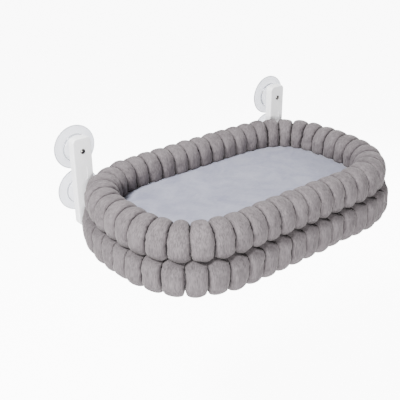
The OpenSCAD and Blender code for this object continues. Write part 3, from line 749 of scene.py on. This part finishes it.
pad = {
    "tuck": 16 * mm, "cellsLong": 92, "cellsWide": 54, "edgeRows": 3, "edgeBulge": 2 * mm,
    "topZ": nest["tierZ"] - 0.5 * mm, "edgeTopZ": nest["tierZ"] - 0.3 * mm, "edgeWide": 20 * mm,
    "rim": 10.5 * mm, "rimTo": 25 * mm,
    "sink": 1.5 * mm, "sinkRange": (35 * mm, 75 * mm),
    "wave": 2 * mm, "wavePitch": 55 * mm, "waveRange": (25 * mm, 60 * mm),
    "pressure": 1.0, "extraCloth": -0.02, "cap": 1.5 * mm, "pinnedNear": 0.2 * mm,
    "rollGap": 0.5 * mm, "rayLift": 2 * mm, "rayReach": 100 * mm,
}


def discPlace(x, y):
    # A square from -1 to 1 turned into a disc
    return x * math.sqrt(1 - y * y / 2), y * math.sqrt(1 - x * x / 2)


def outlineReach(x, y, inset):
    # A place on the disc carried to the nest's outline, drawn in by inset all round
    radius = math.hypot(x, y)
    if radius < 1e-9:
        return Vector((0, 0))
    turn = math.atan2(y, x)
    ahead = (nest["halfLong"] - inset) * signedPower(math.cos(turn), 2 / nest["power"])
    aside = (nest["halfWide"] - inset) * signedPower(math.sin(turn), 2 / nest["power"])
    near = Vector((ahead, nest["centreY"] + aside, 0))
    line, _, away = upperTree.find(near)
    edge = line + (near - line) * (inset / away)
    return Vector((edge.x, edge.y - nest["centreY"])) * radius


def makePad():
    bm = bmesh.new()
    bmesh.ops.create_grid(bm, x_segments=pad["cellsLong"], y_segments=pad["cellsWide"], size=1.0)
    for vertex in bm.verts:
        spot = outlineReach(*discPlace(vertex.co.x, vertex.co.y), pad["tuck"] + pad["edgeBulge"])
        vertex.co = (spot.x, nest["centreY"] + spot.y, padLow.z)
    thickness = pad["topZ"] - padLow.z
    raised = bmesh.ops.extrude_face_region(bm, geom=list(bm.faces), use_keep_orig=True)
    top = [item for item in raised["geom"] if isinstance(item, bmesh.types.BMVert)]
    bmesh.ops.translate(bm, verts=top, vec=(0, 0, thickness))
    bmesh.ops.recalc_face_normals(bm, faces=bm.faces)
    sides = [edge for edge in bm.edges if abs(edge.verts[0].co.z - edge.verts[1].co.z) > thickness / 2]
    bmesh.ops.subdivide_edges(bm, edges=sides, cuts=pad["edgeRows"])
    obj = finishObject("pad_velvet", meshOf("pad_velvet", bm), "padVelvet", "nest",
        sharpAngle=60)
    shapePad(obj, thickness)
    pinned = [vertex.index for vertex in obj.data.vertices
        if vertex.co.z < padLow.z + pad["pinnedNear"]]
    inflate(obj, pinned, pad["pressure"], pad["extraCloth"], pad["cap"], holdPad)
    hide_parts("pad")


def insideRing(place):
    # How far in from the upper roll's middle line a place of the pad lies
    return upperTree.find((place.x, place.y, 0))[2]


upperCloth = bvhtree.BVHTree.FromObject(upperPlush, bpy.context.evaluated_depsgraph_get())


def shapePad(obj, thickness):
    # Plump in the middle, and swelling up against the roll all round
    middle = padLow.z + thickness / 2
    for vertex in obj.data.vertices:
        place = vertex.co
        level = (place.z - padLow.z) / thickness  # 0 on the underside and 1 on top
        inside = insideRing(place)
        if level > 0.99:
            wave = noise.noise(Vector((place.x, place.y, 0)) / pad["wavePitch"]) * pad["wave"]
            sunk = pad["sink"] * smoothShare(inside, *pad["sinkRange"])
            place.z += pad["rim"] * smoothShare(inside, pad["tuck"], pad["rimTo"]) - sunk
            place.z += wave * smoothShare(inside, *pad["waveRange"])
        elif level > 0.01:
            outward = Vector((place.x, place.y - nest["centreY"], 0)).normalized()
            place += outward * pad["edgeBulge"] * (1 - ((place.z - middle) / (thickness / 2)) ** 2)
        holdPad(place)


def holdPad(place):
    # The pad stays under the upper roll's cloth and over the sling
    start = Vector((place.x, place.y, padLow.z + pad["rayLift"]))
    hit = upperCloth.ray_cast(start, Vector((0, 0, 1)), pad["rayReach"])[0]
    if hit:
        place.z = min(place.z, hit.z - pad["rollGap"])
    if insideRing(place) < pad["edgeWide"]:
        place.z = min(place.z, pad["edgeTopZ"])
    place.z = max(place.z, padLow.z)


makePad()
print("pad made")


# Sling

sling = {
    "inset": 21 * mm, "thickness": 1.2 * mm, "cellsLong": 60, "cellsWide": 36,
    "under": 0.2 * mm, "sag": 0.2 * mm, "sagPitch": 50 * mm,
}


def makeSling():
    bm = bmesh.new()
    bmesh.ops.create_grid(bm, x_segments=sling["cellsLong"], y_segments=sling["cellsWide"], size=1.0)
    middleZ = slingHigh.z - sling["thickness"] / 2 - sling["under"]
    for vertex in bm.verts:
        spot = outlineReach(*discPlace(vertex.co.x, vertex.co.y), sling["inset"])
        sag = noise.noise(Vector((spot.x, spot.y, 2)) / sling["sagPitch"]) * sling["sag"]
        vertex.co = (spot.x, nest["centreY"] + spot.y, middleZ + sag)
    area = sum(face.calc_area() for face in bm.faces)
    obj = finishObject("sling_cloth", meshOf("sling_cloth", bm), "slingCloth", "nest",
        sharpAngle=60)
    thick = obj.modifiers.new("cloth_thickness", "SOLIDIFY")
    thick.thickness = sling["thickness"]
    thick.offset = 0
    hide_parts("sling")


makeSling()
print("sling made")


# Suction cups

cup = {
    # Radius and height above the glass, from the middle of the hollow face round to the hub
    "profile": [
        (0, 3.0), (10, 2.8), (18, 2.3), (26, 1.55), (33, 0.75), (37.2, 0.12), (38.2, 0.0), (39.3, 0.0),
        (39.75, 0.25), (39.8, 0.7), (39.4, 1.15), (38.2, 1.45), (34, 2.35), (29.5, 3.6), (25.4, 4.8),
        (24.6, 5.1), (24.2, 5.6), (24.0, 6.6), (23.6, 7.5), (22.6, 8.2), (20.5, 8.6), (16, 9.1), (12, 9.5),
        (10.4, 9.8), (9.5, 10.4), (9.05, 11.2), (9.0, 12.9), (8.7, 13.4), (8.2, 13.6), (4.35, 13.6),
        (4.1, 13.4), (4.05, 12.8), (4.05, 6.7), (0, 6.6)],
    "steps": 128, "merge": 0.005 * mm,
    # darkRings are the radii that carry the painted shade of the darker PVC
    "darkRings": ((38.3 * mm, 40 * mm), (23.4 * mm, 25 * mm)), "darkFrom": -0.05 * mm,
}


def spinProfile(profile, steps):
    # A turned shape about the Y axis from radii and heights towards the room, in millimetres
    bm = bmesh.new()
    places = [bm.verts.new((radius * mm, -height * mm, 0)) for radius, height in profile]
    edges = [bm.edges.new(pair) for pair in zip(places, places[1:])]
    bmesh.ops.spin(bm, geom=places + edges, cent=(0, 0, 0), axis=(0, 1, 0), angle=2 * math.pi,
        steps=steps, use_merge=True)
    bmesh.ops.remove_doubles(bm, verts=bm.verts, dist=cup["merge"])
    bmesh.ops.recalc_face_normals(bm, faces=bm.faces)
    return bm


def makeCup(side, level):
    name = "suction_cup_%s_%s" % ("upper" if level > 0 else "lower", "left" if side < 0 else "right")
    low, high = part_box(name)
    middle = Vector(((low.x + high.x) / 2, 0, (low.z + high.z) / 2))
    bm = spinProfile(cup["profile"], cup["steps"])
    bmesh.ops.translate(bm, verts=bm.verts, vec=middle)
    obj = finishObject(name + "_skin", meshOf(name + "_skin", bm), "clearPvc", "brackets",
        sharpAngle=50)
    # The second material is painted shade, given to the room-facing faces on the dark rings
    obj.data.materials.append(materials["pvcRimShade"])
    for face in obj.data.polygons:
        away = face.center - middle
        radius = math.hypot(away.x, away.z)
        dark = any(start < radius < end for start, end in cup["darkRings"])
        if dark and face.center.y < cup["darkFrom"]:
            face.material_index = 1
    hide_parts(name)


for side in (-1, 1):
    for level in (-1, 1):
        makeCup(side, level)
print("cups made")


# Screws in the cups

screw = {
    # Radius and height of the head above its seat, from its middle round to the shaft
    "headProfile": [(0, 2.75), (1.6, 2.7), (3.0, 2.45), (3.9, 2.0), (4.5, 1.35), (4.75, 0.6), (4.75, 0.25),
        (4.6, 0.02), (2.45, 0)],
    "headRadius": 4.75 * mm, "headHeight": 2.75 * mm, "shaft": 2.45 * mm, "steps": 48, "sharpAngle": 35,
    "crossWide": 1.3 * mm, "crossLong": 6.2 * mm, "crossDepth": 1.9 * mm,
    "turn": 20, "turnRight": 35, "turnUpper": 50,  # each cross stands at its own angle
    "grooveIn": 4.95 * mm, "grooveOut": 6.5 * mm, "grooveDepth": 0.9 * mm, "grooveOver": 1 * mm,
    "grooveSteps": 64,
}


def screwPlaces():
    low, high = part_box("cup_screws")
    inset = screw["headRadius"]
    return [(x, z) for x in (low.x + inset, high.x - inset) for z in (low.z + inset, high.z - inset)]


def screwTurn(x, z):
    turn = screw["turn"] + screw["turnRight"] * (x > 0) + screw["turnUpper"] * (z > 0)
    return Matrix.Rotation(math.radians(turn), 4, "Y")


def joinInto(bm, part, matrix):
    bmesh.ops.transform(part, matrix=matrix, verts=part.verts)
    mesh = meshOf("part", part)
    bm.from_mesh(mesh)
    bpy.data.meshes.remove(mesh)


def makeScrews():
    headY = shellLow.y
    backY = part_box("cup_screws")[1].y
    shaft = screw["shaft"] / mm
    length = (headY - backY) / mm
    bm = bmesh.new()
    for x, z in screwPlaces():
        head = spinProfile(screw["headProfile"] + [(shaft, length), (0, length)], screw["steps"])
        joinInto(bm, head, Matrix.Translation((x, headY, z)) @ screwTurn(x, z))
    obj = finishObject("cup_screws_skin", meshOf("cup_screws_skin", bm), "nickel", "brackets",
        sharpAngle=screw["sharpAngle"])
    for wide, tall in ((screw["crossWide"], screw["crossLong"]), (screw["crossLong"], screw["crossWide"])):
        cross = bmesh.new()
        for x, z in screwPlaces():
            size = Matrix.Diagonal((wide, screw["crossDepth"] * 2, tall, 1))
            place = Matrix.Translation((x, headY - screw["headHeight"], z)) @ screwTurn(x, z) @ size
            bmesh.ops.create_cube(cross, size=1.0, matrix=place)
        subtract(obj, makeCutter("cross_cutter", cross, "nickel"))
    obj.data.set_sharp_from_angle(angle=math.radians(screw["sharpAngle"]))
    print("cup screws made:", len(obj.data.vertices), "points")
    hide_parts("cup_screws")


def grooveCutter():
    # The moulded ring that each screw head sits in
    inner, outer, depth, over = (screw["groove" + key] / mm for key in ("In", "Out", "Depth", "Over"))
    section = [(inner, -depth), (outer, -depth), (outer, over), (inner, over), (inner, -depth)]
    bm = bmesh.new()
    for x, z in screwPlaces():
        ring = spinProfile(section, screw["grooveSteps"])
        joinInto(bm, ring, Matrix.Translation((x, shellLow.y, z)))
    return makeCutter("groove_cutter", bm, "whiteAbs")


makeScrews()

hardPieces = {
    # Finish and softened edge of each piece taken from the CAD, where _ at the end stands for left and right
    "bracket_shell_": ("whiteAbs", 0.5 * mm), "bracket_cover_": ("whiteAbs", 0.3 * mm),
    "cover_screws": ("zincSteel", 0.2 * mm), "cup_washers": ("zincSteel", 0.2 * mm),
    "cup_inserts": ("brass", 0.2 * mm), "pin_set_screws": ("blackSteel", 0.2 * mm),
    "pivot_pin_": ("zincSteel", 0.4 * mm), "hinge_bush_": ("nylon", 0.15 * mm),
    "thumb_slide_": ("whiteAbs", 0.4 * mm), "lock_bolt_": ("zincSteel", 0.5 * mm),
    "arm_": ("powderCoat", 0.5 * mm), "frame_half_": ("powderCoat", 0),
    "frame_joiner_front": ("zincSteel", 0), "frame_joiner_rear": ("zincSteel", 0),
    "joiner_screws": ("zincSteel", 0.3 * mm),
}
for name, (material, edge) in hardPieces.items():
    for side in ("left", "right") if name.endswith("_") else ("",):
        cutter = grooveCutter() if name == "bracket_shell_" else None
        dressNode(name + side, material, edge, cutter)
print("hard pieces dressed")


# Floor, light and camera

studio = {
    "floorZ": -0.62, "floorHalf": 30, "floor": "f7f7f8", "glow": "ffffff", "world": "ffffff",
    # How strongly each lights the scene, shows to the eye, and shows through clear plastic
    "floorGlow": (0.26, 9.0, 2.4), "worldGlow": (0.42, 10.0, 2.6),
    # Place, size and power of each lamp, all turned to the nest's middle
    "lights": {
        "key_light": ((-1.1, -0.1, 1.5), 0.5, 100),
        "front_light": ((-1.3, -1.8, 0.3), 0.5, 74),
        "back_light": ((1.5, 0.5, 0.5), 0.8, 38),
    },
    "middle": (0, nest["centreY"], -40 * mm),
}


def lampStrength(tree, plain, seen, through):
    # One strength for what lights the scene, and brighter ones for what the eye sees and looks through to
    rays = addNode(tree, "ShaderNodeLightPath")
    clear = addNode(tree, "ShaderNodeMix", {"data_type": "FLOAT", 2: plain, 3: through},
        {0: rays.outputs["Is Transmission Ray"]})
    return addNode(tree, "ShaderNodeMix", {"data_type": "FLOAT", 3: seen},
        {0: rays.outputs["Is Camera Ray"], 2: clear.outputs[0]}).outputs[0]


def makeStudio():
    bm = bmesh.new()
    bmesh.ops.create_grid(bm, x_segments=1, y_segments=1, size=studio["floorHalf"])
    bmesh.ops.translate(bm, verts=bm.verts, vec=(0, 0, studio["floorZ"]))
    # A lit white table: its own glow keeps the ground as bright as the photograph's
    material, tree, shader = startMaterial("pale_floor", {"Roughness": 0.9,
        "Base Color": linearColor(studio["floor"]), "Emission Color": linearColor(studio["glow"])})
    tree.links.new(lampStrength(tree, *studio["floorGlow"]), shader.inputs["Emission Strength"])
    mesh = meshOf("studio_floor", bm)
    mesh.materials.append(material)
    floor = bpy.data.objects.new("studio_floor", mesh)
    bpy.context.scene.collection.objects.link(floor)
    world = bpy.data.worlds.new("studio")
    world.use_nodes = True
    background = world.node_tree.nodes["Background"]
    background.inputs["Color"].default_value = linearColor(studio["world"])
    strength = lampStrength(world.node_tree, *studio["worldGlow"])
    world.node_tree.links.new(strength, background.inputs["Strength"])
    bpy.context.scene.world = world


def addLight(name, place, size, power):
    light = bpy.data.lights.new(name, "AREA")
    light.shape = "SQUARE"
    light.size = size
    light.energy = power
    obj = bpy.data.objects.new(name, light)
    obj.location = place
    obj.rotation_euler = (Vector(studio["middle"]) - Vector(place)).to_track_quat("-Z", "Y").to_euler()
    bpy.context.scene.collection.objects.link(obj)


makeStudio()
for name, (place, size, power) in studio["lights"].items():
    addLight(name, place, size, power)

view = {
    # Measured from the photograph of 400 by 400 pixels, about the upper roll's middle
    "azimuth": 38.2932, "elevation": 26.2623, "roll": -0.4741, "distance": 1.26478,
    "focalPixels": 705.32, "sensor": 36.0, "framePixels": 400,
    "targetPixel": (240.844, 179.676), "centrePixel": (199.787, 199.880),
}


def makeCamera():
    around = math.radians(view["azimuth"])
    down = math.radians(view["elevation"])
    roll = math.radians(view["roll"])
    ahead = Vector((math.sin(around) * math.cos(down), math.cos(around) * math.cos(down), -math.sin(down)))
    level = Vector((math.cos(around), -math.sin(around), 0))
    upright = level.cross(ahead)
    right = level * math.cos(roll) + upright * math.sin(roll)
    up = upright * math.cos(roll) - level * math.sin(roll)
    across = (view["targetPixel"][0] - view["centrePixel"][0]) * view["distance"] / view["focalPixels"]
    above = -(view["targetPixel"][1] - view["centrePixel"][1]) * view["distance"] / view["focalPixels"]
    target = Vector((0, nest["centreY"], upperRoll["z"]))
    place = target - right * across - up * above - ahead * view["distance"]
    camera = bpy.data.cameras.new("camera")
    camera.sensor_width = view["sensor"]
    camera.lens = view["focalPixels"] * view["sensor"] / view["framePixels"]
    obj = bpy.data.objects.new("camera", camera)
    turned = Matrix((right, up, -ahead)).transposed().to_4x4()
    obj.matrix_world = Matrix.Translation(place) @ turned
    bpy.context.scene.collection.objects.link(obj)
    bpy.context.scene.camera = obj


makeCamera()
print("studio set")
